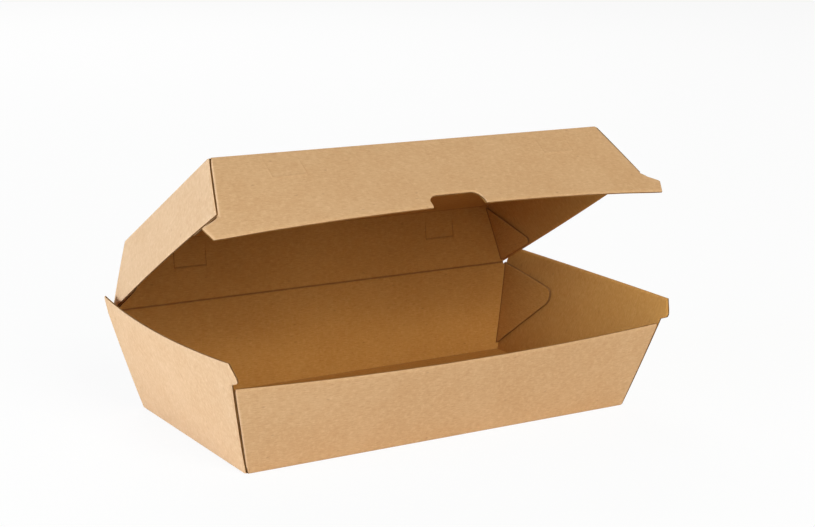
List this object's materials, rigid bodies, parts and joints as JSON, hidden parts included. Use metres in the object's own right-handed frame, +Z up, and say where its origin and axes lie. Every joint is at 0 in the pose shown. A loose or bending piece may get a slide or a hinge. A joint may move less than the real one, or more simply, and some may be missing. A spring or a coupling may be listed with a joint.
{
  "type": "takeaway box",
  "caption": "Hinged clamshell takeaway box of fluted kraft board with a splayed tray, a matching lid, hooked tray ends and a finger notch in the lid's lip.",
  "frame": {"origin": "middle of the underside of the tray's floor", "axes": "+X along the length of the box, +Y towards the hinge at the back, +Z up"},
  "size_m": [0.2168, 0.1231, 0.1174],
  "materials": {
    "tray_board": "uncoated fluted kraft board",
    "lid_board": "uncoated fluted kraft board"
  },
  "bodies": {
    "base_tray": {"base_tray": "tray_board"},
    "lid": {"lid": "lid_board"}
  },
  "joints": [
    {"name": "lid_hinge", "type": "hinge", "parent": "base_tray", "child": "lid", "pos_m": [0, 0.0572, 0.0406], "axis": [-1, 0, 0], "range_deg": [-31.4, 118.6]}
  ]
}
